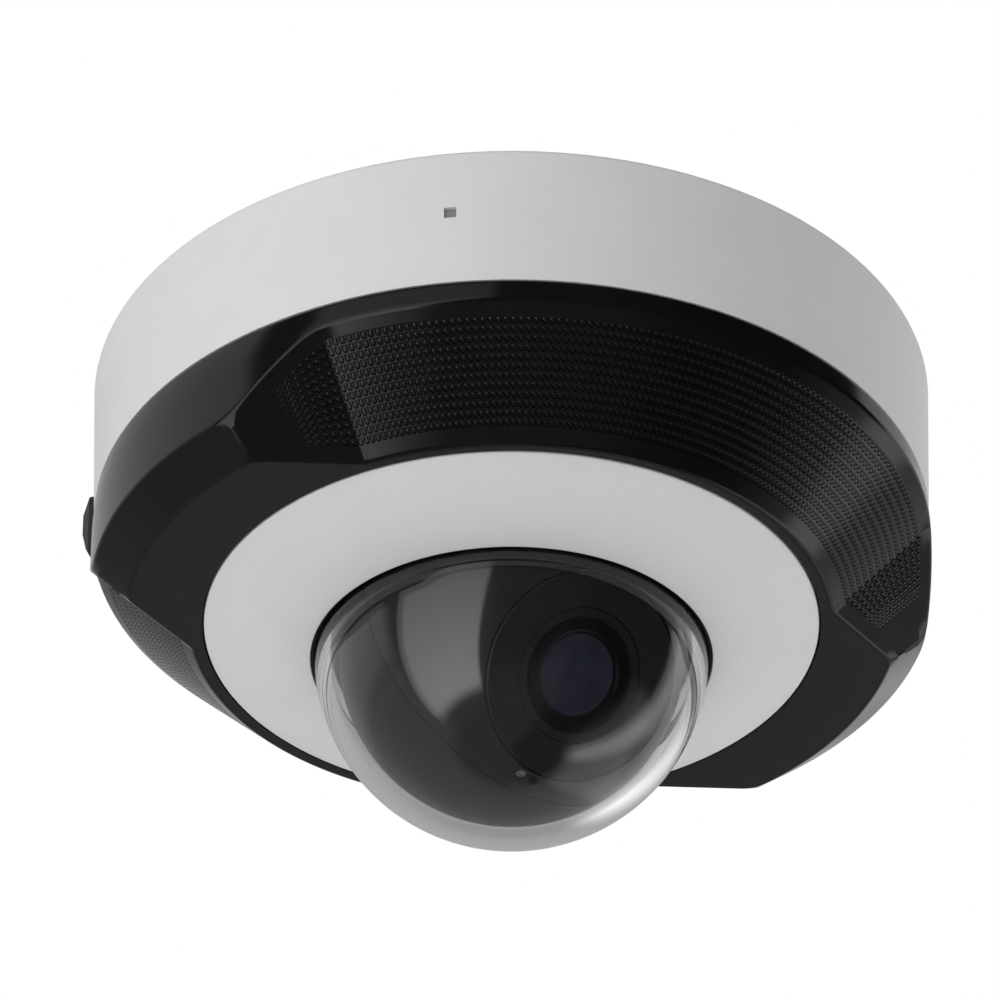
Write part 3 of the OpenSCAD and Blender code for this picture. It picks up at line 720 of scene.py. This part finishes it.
class StudioWorld:
    """The cove around the object with its light banks: a radiance for every direction."""

    def __init__(self):
        world = bpy.data.worlds.new("studio")
        bpy.context.scene.world = world
        world.use_nodes = True
        self.tree = world.node_tree
        self.tree.nodes.clear()
        self.place = self.tree.nodes.new("ShaderNodeTexCoord").outputs["Generated"]
        ahead = self.dot(place_around(0, 0, 1.0))
        right = self.dot(place_around(90, 0, 1.0))
        self.turn = self.math("MULTIPLY", self.math("ARCTAN2", right, ahead), 180 / math.pi)
        self.up = self.math("MULTIPLY", self.math("ARCSINE", self.dot((0, 0, 1))), 180 / math.pi)
        self.total = None

    def dot(self, direction):
        """How far the ray leans towards a direction."""
        node = self.tree.nodes.new("ShaderNodeVectorMath")
        node.operation = "DOT_PRODUCT"
        node.inputs[1].default_value = direction
        self.tree.links.new(self.place, node.inputs[0])
        return node.outputs["Value"]

    def math(self, operation, *values):
        """A math node with plain numbers or other nodes' outputs."""
        node = self.tree.nodes.new("ShaderNodeMath")
        node.operation = operation
        for socket, value in zip(node.inputs, values):
            if isinstance(value, (int, float)):
                socket.default_value = value
            else:
                self.tree.links.new(value, socket)
        return node.outputs[0]

    def ramp(self, value, start, end, low, high, smooth=True):
        """Runs from low to high as the value runs from start to end."""
        node = self.tree.nodes.new("ShaderNodeMapRange")
        if smooth:
            node.interpolation_type = "SMOOTHSTEP"
        for name, number in (("From Min", start), ("From Max", end), ("To Min", low), ("To Max", high)):
            node.inputs[name].default_value = number
        self.tree.links.new(value, node.inputs["Value"])
        return node.outputs["Result"]

    def add(self, value):
        """Adds radiance to the whole."""
        self.total = value if self.total is None else self.math("ADD", self.total, value)

    def bank(self, turns, ups, radiance, soft=2.0, lean=0.0, up_soft=5.0):
        """A light bank between two turns and two heights, in degrees. Its radiance changes evenly from its
        lower to its upper edge, and its sides lean by a share of the height."""
        turn = self.math("ADD", self.turn, self.math("MULTIPLY", self.up, -lean)) if lean else self.turn
        inside = self.math("MULTIPLY", self.ramp(turn, turns[0] - soft, turns[0] + soft, 0, 1),
                           self.ramp(turn, turns[1] - soft, turns[1] + soft, 1, 0))
        height = self.math("MULTIPLY", self.ramp(self.up, ups[0] - up_soft, ups[0] + up_soft, 0, 1),
                           self.ramp(self.up, ups[1] - up_soft, ups[1] + up_soft, 1, 0))
        level = self.ramp(self.up, ups[0], ups[1], radiance[0], radiance[1], smooth=False)
        self.add(self.math("MULTIPLY", self.math("MULTIPLY", inside, height), level))

    def finish(self):
        """White to the camera, and the banks to everything else."""
        tree = self.tree
        lit = tree.nodes.new("ShaderNodeBackground")
        lit.inputs["Color"].default_value = (1, 1, 1, 1)
        tree.links.new(self.total, lit.inputs["Strength"])
        white = tree.nodes.new("ShaderNodeBackground")
        white.inputs["Color"].default_value = (1, 1, 1, 1)
        white.inputs["Strength"].default_value = 1.0
        mix = tree.nodes.new("ShaderNodeMixShader")
        path = tree.nodes.new("ShaderNodeLightPath")
        tree.links.new(path.outputs["Is Camera Ray"], mix.inputs[0])
        tree.links.new(lit.outputs[0], mix.inputs[1])
        tree.links.new(white.outputs[0], mix.inputs[2])
        out = tree.nodes.new("ShaderNodeOutputWorld")
        tree.links.new(mix.outputs[0], out.inputs["Surface"])


def studio_world():
    """The studio's light banks. Turns run from the camera's side to its right, heights up from the level."""
    studio = StudioWorld()
    floor_glow = studio.ramp(studio.up, -60, -20, 0.12, 0.05)
    right_fall = studio.ramp(studio.turn, 25, 60, 1.0, 0.35)
    back_rise = studio.ramp(studio.turn, 150, 178, 0, 0.65)
    studio.add(studio.math("MULTIPLY", floor_glow, studio.math("ADD", right_fall, back_rise)))
    # the big bank in front on the left, brighter towards the floor
    studio.bank((-68, -15.5), (-50, 48), (1.45, 0.34), soft=1.5, lean=0.24)
    # the cove behind, on both sides
    studio.bank((-190, -76), (-10, 75), (0.28, 0.6), soft=3.0)
    studio.bank((150, 190), (-10, 75), (0.28, 0.6), soft=3.0)
    studio.bank((150, 164), (-14, 40), (0.95, 0.1), soft=6.0)
    studio.bank((-190, -76), (-60, -12), (0.12, 0.2), soft=3.0)
    studio.bank((95, 165), (-60, -14), (0.2, 0.3), soft=12.0)
    studio.bank((165, 190), (-60, -12), (0.12, 0.2), soft=12.0)
    # the narrow bank on the right
    studio.bank((108, 121), (-58, 25), (1.0, 0.8), soft=3.0, up_soft=6.0)
    studio.bank((121, 150), (-58, -22), (0.25, 0.3), soft=3.0)
    studio.bank((121, 150), (-14, 25), (0.45, 0.5), soft=3.0, up_soft=6.0)
    studio.bank((116, 150), (25, 75), (0.55, 0.5), soft=3.0)
    studio.finish()


def floor():
    """The pale studio floor, far below the ceiling."""
    half = 8.0
    level = -2.5
    corners = [(-half, -half, level), (half, -half, level), (half, half, level), (-half, half, level)]
    mesh = bpy.data.meshes.new("floor")
    mesh.from_pydata(corners, [], [(0, 1, 2, 3)])
    made = bpy.data.objects.new("floor", mesh)
    bpy.context.scene.collection.objects.link(made)
    surface = Surface("floor_pale", (0.82, 0.82, 0.82), 0.8)
    surface.vary(400.0, 0.01, 0.05)
    mesh.materials.append(surface.material)
    made.visible_glossy = False
    made.visible_diffuse = False
    made.visible_transmission = False


camera()
softbox("fill_front", 4, 0, 2.0, 2.2, 1.15)
softbox("fill_right", 115, 0, 2.0, 2.2, 1.2)
softbox("fill_left", -115, 0, 2.0, 2.2, 0.35)
softbox("fill_front_left", -60, 0, 2.0, 2.2, 0.44)
softbox("fill_back", 180, -35, 2.0, 2.2, 0.5)
softbox("fill_below", 0, -89, 1.6, 3.2, 0.5)
studio_world()
floor()
bpy.context.scene.view_settings.view_transform = "Standard"
